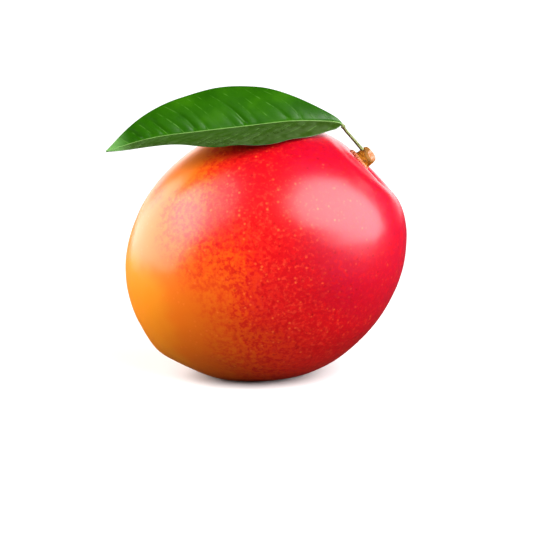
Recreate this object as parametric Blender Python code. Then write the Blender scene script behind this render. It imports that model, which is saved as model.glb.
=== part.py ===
"""A ripe mango with the stub of its fruit stalk and one leaf, lying on a small flat spot.

The frame is in metres with +Z up. Its origin is the middle of the flat spot that the fruit rests on.
+X points to the stalk end, and -Y to the side over which the leaf's lower half leans.

Pieces: the fruit, the corky disc at the foot of its stalk, the stalk's woody stub, the leaf's own
stalk, whose end sits in a socket in the stub, and the leaf with its midrib.
"""

import math

import bmesh
import bpy
from mathutils import Matrix, Vector

MM = 0.001

# The fruit: an egg-shaped body with a long axis that rises to the stalk end.
HALF_LENGTH = 58.7 * MM
HALF_WIDTH = 50.0 * MM
HALF_THICKNESS = 44.5 * MM
LONG_AXIS_RISE = math.radians(32)
STALK_RISE = math.radians(44)
CENTRE = Vector((5.6, 0, 50.85)) * MM
FRUIT_RINGS = 42
FRUIT_SEGMENTS = 60
RING_CROWDING = 1.3

# How the body departs from an ellipsoid. Each entry gives the rise of its middle above +X in the
# XZ plane, its turn out of that plane towards +Y and its spread, in degrees, then the share of the
# radius that it adds there.
FORM = {
    "flat stalk end": (50.0, 0.0, 30.0, -0.075),
    "step inside the right shoulder": (35.5, 0.0, 8.7, -0.082),
    "basin round the stalk": (44.0, 0.0, 9.0, -0.031),
    "full belly": (300.0, 0.0, 34.0, 0.040),
    "beak": (222.0, -6.0, 7.0, 0.016),
    "sinus under the beak": (238.0, -6.0, 9.0, -0.012),
    "fuller far cheek": (10.0, 62.0, 30.0, 0.014),
    "flatter near cheek": (200.0, -70.0, 34.0, -0.012),
}

# Where the fruit's weight has pressed it flat.
REST_SOFTNESS = 1.2 * MM
REST_CUT = 0.35 * MM

# The clearance between neighbouring pieces.
GAP = 0.35 * MM

# The corky disc between fruit and stalk.
DISC_RADIUS = 5.0 * MM
DISC_FLAT_RADIUS = 3.75 * MM
DISC_THICKNESS = 1.9 * MM
DISC_RIM_THICKNESS = 0.9 * MM
DISC_LOBES = 5
DISC_SEGMENTS = 40
FLAKE_LENGTH = 0.9 * MM

# The stub of the fruit stalk: a squat barrel that leans off the disc's axis towards +X, with a
# rounded shoulder and a slanted cut.
STUB_LEAN = math.radians(4)
STUB_RADIUS = 3.5 * MM
STUB_LENGTH = 4.9 * MM
STUB_TAPER = 0.10
SHOULDER_SHARE = 0.76
SHOULDER_FLAT = 0.60
STUB_CUT_LENGTH = 3.7 * MM
STUB_CUT_NORMAL = Vector((0.72, -0.55, 0.42))
STUB_SEGMENTS = 28
STUB_RINGS = (0.0, 0.2, 0.4, 0.6, 0.76, 0.86, 0.94, 0.985, 1.0)

# The leaf's stalk: a thin rod from inside the stub to the swollen knob that carries the leaf.
LEAF_STALK_RADIUS = 0.55 * MM
KNOB_RADIUS = 0.92 * MM
LEAF_STALK_ROUTE = (
    Vector((43.9, -0.7, 91.1)) * MM,
    Vector((43.0, -1.0, 92.2)) * MM,
    Vector((39.2, -3.2, 96.7)) * MM,
    Vector((37.4, -4.5, 98.8)) * MM,
    Vector((36.3, -5.3, 100.2)) * MM,
    Vector((35.8, -5.75, 100.95)) * MM,
    Vector((35.6, -5.9, 101.5)) * MM,
)

# The leaf. The route is that of its midrib, from the stalk to the tip, in even steps. Its first
# few millimetres turn down to the knob.
LEAF_ROUTE = (
    Vector((35.1, -5.9, 103.15)) * MM,
    Vector((16.6, -6.8, 103.5)) * MM,
    Vector((-1.8, -8.3, 101.7)) * MM,
    Vector((-20.1, -10.3, 99.8)) * MM,
    Vector((-38.2, -12.8, 97.6)) * MM,
    Vector((-55.9, -15.9, 92.9)) * MM,
)
LEAF_BASE_DROP = 0.9 * MM
LEAF_BASE_BEND = 0.02
LEAF_HALF_WIDTH = 17.4 * MM
LEAF_END_HALF_WIDTH = 0.45 * MM
LEAF_THICKNESS = 0.7 * MM
# The angle at which each half leaves the midrib, from the stalk to the tip, in degrees: the far
# half rises away from -Y, the near half droops towards it.
FAR_HALF_RISE = (41.0, 66.0, 57.0, 61.0)
NEAR_HALF_DROOP = (39.0, 19.0, 12.5, 7.7, 17.3)
# How much wider the near half is than the far one, from the stalk to the tip.
NEAR_HALF_SHARE = (1.20, 1.21, 1.15, 1.07, 1.06)
MIDRIB_HALF_WIDTH = 0.9 * MM
MIDRIB_BELOW = 0.4 * MM
MIDRIB_ABOVE = 0.2 * MM
LEAF_BOW = 0.03
EDGE_WAVE = 0.55 * MM
EDGE_WAVES = 4.5
LEAF_ROWS = 46
LEAF_COLUMNS = (0.0, 0.04, 0.09, 0.18, 0.34, 0.52, 0.70, 0.86, 1.0)


def clear_scene():
    for thing in list(bpy.data.objects):
        bpy.data.objects.remove(thing, do_unlink=True)


def plain_material(name, colour, roughness):
    material = bpy.data.materials.new(name)
    material.use_nodes = True
    shader = material.node_tree.nodes["Principled BSDF"]
    shader.inputs["Base Color"].default_value = (*colour, 1)
    shader.inputs["Roughness"].default_value = roughness
    shader.inputs["Metallic"].default_value = 0
    return material


def finish_object(name, bm, material, sharp_degrees=50):
    """Turns a bmesh into a named, smooth-shaded object with outward faces."""
    bmesh.ops.recalc_face_normals(bm, faces=bm.faces)
    mesh = bpy.data.meshes.new(name)
    bm.to_mesh(mesh)
    bm.free()
    mesh.materials.append(material)
    mesh.shade_smooth()
    mesh.set_sharp_from_angle(angle=math.radians(sharp_degrees))
    thing = bpy.data.objects.new(name, mesh)
    bpy.context.scene.collection.objects.link(thing)
    return thing


def direction(rise, turn=0.0):
    """The unit vector at this rise above +X in the XZ plane, turned out of it towards +Y."""
    flat = math.cos(turn)
    return Vector((flat * math.cos(rise), math.sin(turn), flat * math.sin(rise)))


STALK_AXIS = direction(STALK_RISE)


def fruit_radius(way):
    """The distance from the fruit's centre to its skin in the direction of a unit vector."""
    along = way.dot(direction(LONG_AXIS_RISE))
    across = way.dot(direction(LONG_AXIS_RISE + math.pi / 2))
    radius = 1 / math.sqrt(
        (along / HALF_LENGTH) ** 2 + (across / HALF_WIDTH) ** 2 + (way.y / HALF_THICKNESS) ** 2
    )
    share = 1.0
    for rise, turn, spread, amount in FORM.values():
        middle = direction(math.radians(rise), math.radians(turn))
        apart = math.degrees(way.angle(middle, 0.0))
        share += amount * math.exp(-((apart / spread) ** 2))
    return radius * share


def skin_point(way):
    """The point of the skin in this direction, with the underside pressed flat towards the floor."""
    point = CENTRE + way * fruit_radius(way)
    height = point.z + REST_CUT
    point.z = (height + math.hypot(height, REST_SOFTNESS)) / 2 - REST_CUT
    return point


def skin_height(offset):
    """How far along the stalk's axis the skin lies from the fruit's centre, at this sideways offset."""
    height = fruit_radius(STALK_AXIS)
    for _ in range(6):
        way = (STALK_AXIS * height + offset).normalized()
        height = math.sqrt(fruit_radius(way) ** 2 - offset.length_squared)
    return height


def across_stalk(angle, reach, lean=0.0):
    """A sideways offset from the stalk's axis. At angle 0 it points up and towards the leaf."""
    up = direction(STALK_RISE - lean + math.pi / 2)
    side = Vector((0, 1, 0))
    return (up * math.cos(angle) + side * math.sin(angle)) * reach


def add_ring_faces(bm, lower, upper):
    count = len(lower)
    for i in range(count):
        j = (i + 1) % count
        bm.faces.new((lower[i], lower[j], upper[j], upper[i]))


def add_fan(bm, tip, ring):
    for i, corner in enumerate(ring):
        bm.faces.new((tip, corner, ring[(i + 1) % len(ring)]))


def build_fruit(material):
    """Rings of points from the stalk to the far end, closed at both poles and cut flat below."""
    bm = bmesh.new()
    rings = []
    for row in range(1, FRUIT_RINGS):
        polar = math.pi * (row / FRUIT_RINGS) ** RING_CROWDING
        ring = []
        for column in range(FRUIT_SEGMENTS):
            side = across_stalk(2 * math.pi * column / FRUIT_SEGMENTS, 1.0)
            way = STALK_AXIS * math.cos(polar) + side * math.sin(polar)
            ring.append(bm.verts.new(skin_point(way.normalized())))
        rings.append(ring)
    for lower, upper in zip(rings, rings[1:]):
        add_ring_faces(bm, lower, upper)
    add_fan(bm, bm.verts.new(skin_point(STALK_AXIS)), rings[0])
    add_fan(bm, bm.verts.new(skin_point(-STALK_AXIS)), rings[-1])
    bmesh.ops.triangulate(bm, faces=bm.faces)
    everything = bm.verts[:] + bm.edges[:] + bm.faces[:]
    bmesh.ops.bisect_plane(
        bm, geom=everything, plane_co=(0, 0, 0), plane_no=(0, 0, -1), clear_outer=True
    )
    open_edges = [edge for edge in bm.edges if edge.is_boundary]
    bmesh.ops.contextual_create(bm, geom=open_edges)
    return finish_object("fruit", bm, material)


def disc_reach(angle):
    """The disc's outer radius: five worn lobes, and one torn flake that stands out by the leaf."""
    lobes = 0.05 * math.cos(DISC_LOBES * angle + 0.6) + 0.03 * math.cos(2 * angle + 2.0)
    turned = math.atan2(math.sin(angle), math.cos(angle))
    return DISC_RADIUS * (1 + lobes) + FLAKE_LENGTH * math.exp(-((turned / 0.22) ** 2))


def disc_top_height():
    return skin_height(Vector((0, 0, 0))) + GAP + DISC_THICKNESS


def disc_slope(offset):
    """How much higher the disc's top is here than on its axis, because it leans with the stub."""
    return math.tan(STUB_LEAN) * offset.dot(across_stalk(0.0, 1.0))


def build_disc(material):
    """A low plug whose underside follows the basin in the skin and whose top is flat in the middle."""
    bm = bmesh.new()
    top = disc_top_height()
    shares = (0.25, 0.5, 0.72, 0.88, 1.0)
    under, over = [], []
    for share in shares:
        below, above = [], []
        for column in range(DISC_SEGMENTS):
            angle = 2 * math.pi * column / DISC_SEGMENTS
            offset = across_stalk(angle, share * disc_reach(angle))
            skin = skin_height(offset) + GAP * (1 + 0.2 * share)
            fade = max(0.0, offset.length - DISC_FLAT_RADIUS) / (disc_reach(angle) - DISC_FLAT_RADIUS)
            flat = top + disc_slope(offset)
            height = flat + (skin + DISC_RIM_THICKNESS - flat) * fade
            below.append(bm.verts.new(CENTRE + STALK_AXIS * skin + offset))
            above.append(bm.verts.new(CENTRE + STALK_AXIS * height + offset))
        under.append(below)
        over.append(above)
    for rings in (under, over):
        for lower, upper in zip(rings, rings[1:]):
            add_ring_faces(bm, lower, upper)
    add_ring_faces(bm, under[-1], over[-1])
    middle = skin_height(Vector((0, 0, 0))) + GAP
    add_fan(bm, bm.verts.new(CENTRE + STALK_AXIS * middle), under[0])
    add_fan(bm, bm.verts.new(CENTRE + STALK_AXIS * top), over[0])
    bmesh.ops.triangulate(bm, faces=bm.faces)
    return finish_object("stalk_disc", bm, material, 30)


def stub_radius(angle, share):
    """A squat barrel, a little out of round, that narrows upwards and rounds over at its shoulder."""
    swell = 1 + 0.04 * math.sin(math.pi * share) - STUB_TAPER * share
    if share > SHOULDER_SHARE:
        over = (share - SHOULDER_SHARE) / (1 - SHOULDER_SHARE)
        swell *= SHOULDER_FLAT + (1 - SHOULDER_FLAT) * math.sqrt(1 - over * over)
    uneven = 1 + 0.03 * math.cos(2 * angle + 0.8) + 0.02 * math.cos(3 * angle - 1.1)
    return STUB_RADIUS * swell * uneven


def build_stub(material):
    bm = bmesh.new()
    foot = CENTRE + STALK_AXIS * (disc_top_height() + GAP)
    axis = direction(STALK_RISE - STUB_LEAN)
    rings = []
    for share in STUB_RINGS:
        ring = []
        for column in range(STUB_SEGMENTS):
            angle = 2 * math.pi * column / STUB_SEGMENTS
            offset = across_stalk(angle, stub_radius(angle, share), STUB_LEAN)
            ring.append(bm.verts.new(foot + axis * (share * STUB_LENGTH) + offset))
        rings.append(ring)
    for lower, upper in zip(rings, rings[1:]):
        add_ring_faces(bm, lower, upper)
    bm.faces.new(rings[0])
    bm.faces.new(rings[-1])
    cut_point = foot + axis * STUB_CUT_LENGTH
    everything = bm.verts[:] + bm.edges[:] + bm.faces[:]
    bmesh.ops.bisect_plane(
        bm, geom=everything, plane_co=cut_point, plane_no=STUB_CUT_NORMAL, clear_outer=True
    )
    bmesh.ops.contextual_create(bm, geom=[edge for edge in bm.edges if edge.is_boundary])
    return finish_object("fruit_stalk", bm, material, 35)


def leaf_stalk_curve(name, radii):
    """A rod along the leaf stalk's route, with this radius at each of its points."""
    data = bpy.data.curves.new(name, "CURVE")
    data.dimensions = "3D"
    data.bevel_depth = 1.0
    data.bevel_resolution = 4
    data.resolution_u = 5
    data.use_fill_caps = True
    spline = data.splines.new("BEZIER")
    spline.bezier_points.add(len(LEAF_STALK_ROUTE) - 1)
    for knot, place, radius in zip(spline.bezier_points, LEAF_STALK_ROUTE, radii):
        knot.co = place
        knot.handle_left_type = knot.handle_right_type = "AUTO"
        knot.radius = radius
    thing = bpy.data.objects.new(name, data)
    bpy.context.scene.collection.objects.link(thing)
    return thing


def build_leaf_stalk(material):
    thin = LEAF_STALK_RADIUS
    radii = (thin, thin, thin, thin, thin * 1.15, KNOB_RADIUS, KNOB_RADIUS * 0.75)
    stalk = leaf_stalk_curve("leaf_stalk", radii)
    stalk.data.materials.append(material)
    return stalk


def cut_socket(stub):
    """Opens the stub for the end of the leaf's stalk, with the gap all round it."""
    wide = LEAF_STALK_RADIUS + GAP
    guide = leaf_stalk_curve("socket_guide", (wide,) * len(LEAF_STALK_ROUTE))
    start, after = guide.data.splines[0].bezier_points[:2]
    start.co -= (after.co - start.co).normalized() * GAP
    graph = bpy.context.evaluated_depsgraph_get()
    cutter = bpy.data.objects.new("socket_cutter", bpy.data.meshes.new_from_object(guide.evaluated_get(graph)))
    bpy.data.objects.remove(guide, do_unlink=True)
    bpy.context.scene.collection.objects.link(cutter)
    cutter.hide_render = True
    cutter.display_type = "WIRE"
    weld = cutter.modifiers.new("Weld caps", "WELD")
    weld.merge_threshold = 0.00001
    socket = stub.modifiers.new("Socket", "BOOLEAN")
    socket.operation = "DIFFERENCE"
    socket.solver = "EXACT"
    socket.object = cutter


def along_table(values, share):
    """Reads a table of evenly spaced values at a share of its length, with smooth steps."""
    place = share * (len(values) - 1)
    index = min(int(place), len(values) - 2)
    part = place - index
    part = part * part * (3 - 2 * part)
    return values[index] * (1 - part) + values[index + 1] * part


def on_route(route, share):
    """A point on the smooth curve through evenly weighted points (Catmull-Rom)."""
    place = share * (len(route) - 1)
    index = min(int(place), len(route) - 2)
    part = place - index
    before = route[index - 1] if index else 2 * route[0] - route[1]
    after = route[index + 2] if index + 2 < len(route) else 2 * route[-1] - route[-2]
    start, end = route[index], route[index + 1]
    return 0.5 * (
        2 * start
        + (end - before) * part
        + (2 * before - 5 * start + 4 * end - after) * part**2
        + (3 * start - 3 * end + after - before) * part**3
    )


def midrib_point(share):
    drop = LEAF_BASE_DROP * math.exp(-share / LEAF_BASE_BEND)
    return on_route(LEAF_ROUTE, share) - Vector((0, 0, drop))


def leaf_half_width(share):
    """The lance outline: a sine, sharpened a little more towards the tip than at the stalk."""
    full = max(0.0, math.sin(math.pi * share)) ** (0.73 + 0.21 * share)
    return math.hypot(LEAF_HALF_WIDTH * full, LEAF_END_HALF_WIDTH)


def leaf_middle(share, across):
    """The middle surface. across runs from -1 at the near edge, past the midrib at 0, to 1."""
    step = 0.002
    rib = midrib_point(share)
    run = (midrib_point(min(1, share + step)) - midrib_point(max(0, share - step))).normalized()
    width = leaf_half_width(share)
    if across < 0:
        width *= along_table(NEAR_HALF_SHARE, share)
        angle = math.radians(along_table(NEAR_HALF_DROOP, share))
        way = Vector((0, -math.cos(angle), -math.sin(angle)))
    else:
        angle = math.radians(along_table(FAR_HALF_RISE, share))
        way = Vector((0, math.cos(angle), math.sin(angle)))
    way = (way - run * way.dot(run)).normalized()
    upwards = run.cross(way) if across < 0 else way.cross(run)
    out = abs(across)
    bow = 4 * LEAF_BOW * width * (out - out * out)
    phase = 2 * math.pi * EDGE_WAVES * share + (0.9 if across < 0 else 0)
    wave = EDGE_WAVE * math.sin(phase) * out**2 * math.sin(math.pi * share)
    return rib + way * (width * out) + upwards * (bow + wave)


def leaf_normal(share, across):
    """The upward normal of the middle surface, averaged across the fold at the midrib."""
    step = 0.01
    low, high = max(0.0, share - step), min(1.0, share + step)
    along = leaf_middle(high, across) - leaf_middle(low, across)
    sideways = leaf_middle(share, min(1.0, across + step)) - leaf_middle(share, max(-1.0, across - step))
    return sideways.cross(along).normalized()


def leaf_surface_point(share, across, above):
    """A point of the upper or the lower face, with the midrib raised on both."""
    distance = abs(across) * leaf_half_width(share)
    taper = 1 - 0.65 * share
    rib = math.exp(-((distance / (MIDRIB_HALF_WIDTH * taper)) ** 2)) * taper
    if above:
        height = LEAF_THICKNESS / 2 + MIDRIB_ABOVE * rib
    else:
        height = -LEAF_THICKNESS / 2 - MIDRIB_BELOW * rib
    return leaf_middle(share, across) + leaf_normal(share, across) * height


def build_leaf(material):
    """Two matching grids of points, one for each face, joined round the edge."""
    bm = bmesh.new()
    columns = [-share for share in reversed(LEAF_COLUMNS[1:])] + list(LEAF_COLUMNS)
    faces = {}
    for above in (True, False):
        faces[above] = [
            [bm.verts.new(leaf_surface_point(row / LEAF_ROWS, across, above)) for across in columns]
            for row in range(LEAF_ROWS + 1)
        ]
    last = len(columns) - 1
    for grid in faces.values():
        for row, following in zip(grid, grid[1:]):
            for i in range(last):
                bm.faces.new((row[i], row[i + 1], following[i + 1]))
                bm.faces.new((row[i], following[i + 1], following[i]))
    top, bottom = faces[True], faces[False]
    for i in range(LEAF_ROWS):
        for edge in (0, last):
            bm.faces.new((top[i][edge], top[i + 1][edge], bottom[i + 1][edge], bottom[i][edge]))
    for end in (0, LEAF_ROWS):
        for i in range(last):
            bm.faces.new((top[end][i], top[end][i + 1], bottom[end][i + 1], bottom[end][i]))
    return finish_object("leaf", bm, material, 60)


def main():
    clear_scene()
    skin = plain_material("waxy skin", (0.75, 0.07, 0.03), 0.35)
    cork = plain_material("cork", (0.62, 0.36, 0.18), 0.8)
    bark = plain_material("stalk bark", (0.42, 0.20, 0.03), 0.7)
    green_stalk = plain_material("leaf stalk skin", (0.35, 0.38, 0.12), 0.5)
    blade = plain_material("leaf blade", (0.03, 0.17, 0.01), 0.35)
    build_fruit(skin)
    build_disc(cork)
    stub = build_stub(bark)
    build_leaf_stalk(green_stalk)
    cut_socket(stub)
    build_leaf(blade)


main()
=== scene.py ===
# %% [markdown]
# # A ripe mango with its leaf
#
# A mango is one closed, egg-like body with a waxy skin, a shallow basin at its stalk and a blunt
# beak near its far end. Here the solids that the fruit was planned with give the frame: every new
# piece takes the place of one of them. The pieces are surfaces worked out with numpy, because a
# formula gives each of them a smooth form, a real size and as many points as the light needs.

# %% The frame
import math
from functools import partial

import bpy
import numpy as np
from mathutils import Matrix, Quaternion, Vector


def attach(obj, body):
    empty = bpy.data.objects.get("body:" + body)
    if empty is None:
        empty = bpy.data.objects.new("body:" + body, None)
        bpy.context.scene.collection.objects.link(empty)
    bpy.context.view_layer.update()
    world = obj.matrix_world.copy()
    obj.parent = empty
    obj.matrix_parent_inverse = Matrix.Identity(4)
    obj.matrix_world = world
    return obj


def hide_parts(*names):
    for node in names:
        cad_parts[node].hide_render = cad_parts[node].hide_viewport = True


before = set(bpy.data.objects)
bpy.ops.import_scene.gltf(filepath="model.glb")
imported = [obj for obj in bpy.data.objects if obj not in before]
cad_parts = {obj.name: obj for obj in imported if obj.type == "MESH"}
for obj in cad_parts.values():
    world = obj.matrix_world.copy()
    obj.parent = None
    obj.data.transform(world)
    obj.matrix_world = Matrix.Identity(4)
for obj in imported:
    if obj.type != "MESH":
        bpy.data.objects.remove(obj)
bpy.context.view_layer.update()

MM = 0.001

# %% [markdown]
# ## The camera
#
# The photo looks down on the fruit by 12 degrees from about 0.6 m away. A long lens keeps the fruit
# free of strong perspective. The camera's place is worked out from the fruit's centre, along the
# view's own three directions, so that a change of angle keeps the fruit in its place in the frame.

# %% The camera
FRUIT_CENTRE = np.array([5.6, 0.0, 50.85]) * MM
VIEW_DOWN = math.radians(12)
VIEW_DISTANCE = 615.6 * MM
VIEW_RIGHT = 4.2 * MM
VIEW_UP = -10.4 * MM

view_right = np.array([1.0, 0.0, 0.0])
view_up = np.array([0.0, math.sin(VIEW_DOWN), math.cos(VIEW_DOWN)])
view_forward = np.array([0.0, math.cos(VIEW_DOWN), -math.sin(VIEW_DOWN)])

camera_data = bpy.data.cameras.new("camera")
camera_data.lens = 100
camera_data.sensor_width = 36
camera = bpy.data.objects.new("camera", camera_data)
camera_place = FRUIT_CENTRE + VIEW_RIGHT * view_right + VIEW_UP * view_up
camera.location = camera_place - VIEW_DISTANCE * view_forward
camera.rotation_euler = (math.pi / 2 - VIEW_DOWN, 0, 0)
bpy.context.scene.collection.objects.link(camera)
bpy.context.scene.camera = camera
print("camera at", np.round(np.array(camera.location) / MM, 1).tolist(), "mm")

# %% [markdown]
# ## Helpers for meshes
#
# Each round piece is a stack of rings between two tips. The rings are one array of points, and the
# faces between them are worked out from the points' numbers, with no loop over the points.

# %% Meshes from rings
def unit(vectors):
    """Each vector divided by its own length."""
    return vectors / np.linalg.norm(vectors, axis=-1, keepdims=True)


def ring_quads(rows, columns):
    """The quads between neighbouring rings: each joins a point, its right neighbour and the two above."""
    row, column = np.meshgrid(np.arange(rows - 1), np.arange(columns), indexing="ij")
    after = (column + 1) % columns
    low = row * columns
    high = low + columns
    corners = (low + column, low + after, high + after, high + column)
    return np.stack(corners, axis=-1).reshape(-1, 4)


def signed_volume(points, faces):
    """The volume inside the faces. It is negative if they point inwards."""
    total = 0.0
    for corners in faces:
        first = points[corners[:, 0]]
        for step in range(1, corners.shape[1] - 1):
            second = points[corners[:, step]]
            third = points[corners[:, step + 1]]
            total += np.einsum("ij,ij->", first, np.cross(second, third)) / 6
    return total


def mesh_from(name, points, faces):
    """A smooth-shaded mesh from points (n, 3) and a list of face arrays, turned to point outwards."""
    if signed_volume(points, faces) < 0:
        faces = [corners[:, ::-1] for corners in faces]
    mesh = bpy.data.meshes.new(name)
    listed = [corner for corners in faces for corner in corners.tolist()]
    mesh.from_pydata(points.tolist(), [], listed)
    mesh.update()
    mesh.shade_smooth()
    return mesh


def rings_to_mesh(name, rings, start, end):
    """Closes rings (rows, columns, 3) with a fan of triangles round a tip at each end."""
    rows, columns, _ = rings.shape
    points = np.concatenate([rings.reshape(-1, 3), [start, end]])
    around = np.arange(columns)
    after = (around + 1) % columns
    last = (rows - 1) * columns
    start_fan = np.stack([np.full(columns, rows * columns), after, around], axis=-1)
    end_fan = np.stack([np.full(columns, rows * columns + 1), last + around, last + after], axis=-1)
    return mesh_from(name, points, [ring_quads(rows, columns), start_fan, end_fan])


def add_piece(name, mesh, node):
    """Makes a mesh a piece of the object that stands for a planned solid."""
    piece = bpy.data.objects.new(name, mesh)
    bpy.context.scene.collection.objects.link(piece)
    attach(piece, "root")
    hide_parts(node)
    print(name, "has", len(mesh.polygons), "faces")


# %% Soft random unevenness
def waves_through(points, size, count, seed):
    """Uneven values of about -1 to 1: a sum of plane waves about this size, in random directions."""
    random = np.random.default_rng(seed)
    directions = unit(random.normal(size=(count, 3)))
    lengths = size * random.uniform(0.7, 1.5, count)
    phases = random.uniform(0, 2 * np.pi, count)
    angle = points @ (directions / lengths[:, None] * 2 * np.pi).T + phases
    return np.sin(angle).sum(axis=-1) / math.sqrt(count / 2) / 2


def layered(points, layers):
    """The sum of layers of waves. Each layer is a height, a size, how many waves and their seed."""
    return sum(height * waves_through(points, size, count, seed) for height, size, count, seed in layers)


print("ten waves add up to", round(float(waves_through(np.ones(3), 1.0, 10, 1)), 2), "at one point")


# %% [markdown]
# ## The fruit's shape
#
# A mango is a little longer than wide and thinner than both, and every part of it departs from an
# ellipsoid: the stalk end is flat, the belly is full, and a small beak marks the old flower's style.
# The surface is a radius for every direction. That keeps it closed and smooth, and lets each
# departure be one soft bump with a place, a spread and an amount.

# %% Directions and the radius of the fruit
HALF_LENGTH = 58.7 * MM
HALF_WIDTH = 50.0 * MM
HALF_THICKNESS = 44.5 * MM
LONG_AXIS_RISE = math.radians(32)
STALK_RISE = math.radians(44)
REST_SOFTNESS = 1.2 * MM
REST_CUT = 0.35 * MM

# A low lip and the furrow inside it: degrees from the stalk's axis, width in degrees, height in mm.
BASIN_RINGS = [(21.0, 3.4, 0.26), (15.6, 2.6, -0.20)]

# They are full on the near side: their share in the middle, and how fast it falls towards +Y.
RING_MIDDLE_SHARE = 0.45
RING_FALL = 1.4
RING_WANDER = [(1.2, 20 * MM, 8, 5)]

# Slow waves of the skin, with heights in mm, and how many degrees round the stalk they stay away.
SKIN_WAVES = [(0.10, 24 * MM, 12, 4), (0.03, 7 * MM, 14, 9)]
CALM_SPREAD = 12.0

# The rise above +X in the XZ plane, the turn towards +Y and the spread, in degrees, and the share
# of the radius that is added.
FORM = {
    "flat stalk end": (50.0, 0.0, 30.0, -0.075),
    "step inside the right shoulder": (35.5, 0.0, 8.7, -0.082),
    "basin round the stalk": (44.0, 0.0, 9.0, -0.031),
    "full belly": (300.0, 0.0, 34.0, 0.040),
    "beak": (222.0, -6.0, 7.0, 0.016),
    "sinus under the beak": (238.0, -6.0, 9.0, -0.012),
    "fuller far cheek": (10.0, 62.0, 30.0, 0.014),
    "flatter near cheek": (200.0, -70.0, 34.0, -0.012),
}


def direction(rise, turn=0.0):
    """The unit vector at this rise above +X in the XZ plane, turned out of it towards +Y."""
    flat = math.cos(turn)
    return np.array([flat * math.cos(rise), math.sin(turn), flat * math.sin(rise)])


STALK_AXIS = direction(STALK_RISE)


def fruit_radius(way):
    """The radius in each direction: that of an ellipsoid, times one plus a sum of bell-shaped bumps."""
    along = way @ direction(LONG_AXIS_RISE)
    across = way @ direction(LONG_AXIS_RISE + math.pi / 2)
    inverse = (along / HALF_LENGTH) ** 2 + (across / HALF_WIDTH) ** 2 + (way[..., 1] / HALF_THICKNESS) ** 2
    share = 1.0
    for rise, turn, spread, amount in FORM.values():
        middle = direction(math.radians(rise), math.radians(turn))
        apart = np.degrees(np.arccos(np.clip(way @ middle, -1, 1)))
        share = share + amount * np.exp(-((apart / spread) ** 2))
    return share / np.sqrt(inverse)


print("radius at the stalk in mm:", round(float(fruit_radius(STALK_AXIS)) / MM, 2))

# %% [markdown]
# The rings start at the stalk, where the basin needs them close together, and end at the far side.
# A real skin also swells and dips a little over the flesh. Two sizes of slow waves, 0.1 mm and
# 0.03 mm high, keep the broad reflections from looking machined. On the near side a low lip and a
# furrow run round the stalk's basin, as uneven rings. The underside is pressed flat with a soft edge,
# where the weight of half a kilogram rests.

# %% The fruit's surface
FRUIT_RINGS = 250
FRUIT_COLUMNS = 300
RING_CROWDING = 1.3


def across_stalk(angle, reach, lean=0.0):
    """Sideways offsets from the stalk's axis: a circle of this reach, with angle 0 towards the leaf."""
    up = direction(STALK_RISE - lean + math.pi / 2)
    side = np.array([0.0, 1.0, 0.0])
    turned = np.cos(angle)[..., None] * up + np.sin(angle)[..., None] * side
    return turned * np.asarray(reach)[..., None]


def skin_points(way):
    """The skin in each direction, with the part below the floor folded up softly onto it."""
    points = FRUIT_CENTRE + way * fruit_radius(way)[..., None]
    apart = np.degrees(np.arccos(np.clip(way @ STALK_AXIS, -1, 1)))
    uneven = layered(points, SKIN_WAVES) * (1 - np.exp(-((apart / CALM_SPREAD) ** 2)))
    apart = apart + layered(points, RING_WANDER)
    near = np.clip(RING_MIDDLE_SHARE - RING_FALL * way[..., 1], 0, 1)
    for reach, width, height in BASIN_RINGS:
        uneven = uneven + near * height * np.exp(-(((apart - reach) / width) ** 2))
    points = points + way * (uneven * MM)[..., None]
    height = points[..., 2] + REST_CUT
    points[..., 2] = np.maximum((height + np.hypot(height, REST_SOFTNESS)) / 2 - REST_CUT, 0)
    return points


polar = np.pi * (np.arange(1, FRUIT_RINGS) / FRUIT_RINGS) ** RING_CROWDING
turn = 2 * np.pi * np.arange(FRUIT_COLUMNS) / FRUIT_COLUMNS
polar, turn = np.meshgrid(polar, turn, indexing="ij")
ways = unit(STALK_AXIS * np.cos(polar)[..., None] + across_stalk(turn, np.sin(polar)))
fruit_mesh = rings_to_mesh("fruit", skin_points(ways), skin_points(STALK_AXIS), skin_points(-STALK_AXIS))
add_piece("mango_fruit", fruit_mesh, "fruit")

# %% [markdown]
# ## The disc at the foot of the stalk
#
# Between skin and stalk sits a low plug of cork, which is left of the joint at which the fruit lets
# go when it is ripe. Its edge is worn into lobes, and one flake stands out. It is a stack of rings
# too: out along the underside, over the edge and back to the middle. It is sunk a little into the
# skin, so that no slit shows.

# %% The disc
DISC_RADIUS = 5.0 * MM
DISC_FLAT_RADIUS = 3.75 * MM
DISC_HEIGHT = 2.25 * MM
DISC_RIM_THICKNESS = 1.25 * MM
DISC_SINK = 0.5 * MM
FLAKE_LENGTH = 0.9 * MM
FLAKE_SPREAD = 0.22
STUB_LEAN = math.radians(4)
DISC_COLUMNS = 180

# Lobes and nicks of its edge: how many round, their share of the radius, and their phase.
DISC_WAVES = [(5, 0.05, 0.6), (2, 0.03, 2.0), (17, 0.012, 1.0), (29, 0.010, 0.0)]
CORK_WAVES = [(0.10, 1.1 * MM, 10, 21), (0.06, 0.5 * MM, 10, 22)]


def skin_height(offset):
    """How far along the stalk's axis the skin lies at these sideways offsets, by six steps of search."""
    height = np.full(offset.shape[:-1], float(fruit_radius(STALK_AXIS)))
    for _ in range(6):
        way = unit(STALK_AXIS * height[..., None] + offset)
        height = np.sqrt(fruit_radius(way) ** 2 - (offset**2).sum(axis=-1))
    return height


def disc_reach(angle):
    """The outer radius: a circle with worn lobes and one bell-shaped flake towards the leaf."""
    worn = sum(amount * np.cos(number * angle + phase) for number, amount, phase in DISC_WAVES)
    turned = np.arctan2(np.sin(angle), np.cos(angle))
    return DISC_RADIUS * (1 + worn) + FLAKE_LENGTH * np.exp(-((turned / FLAKE_SPREAD) ** 2))


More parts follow.
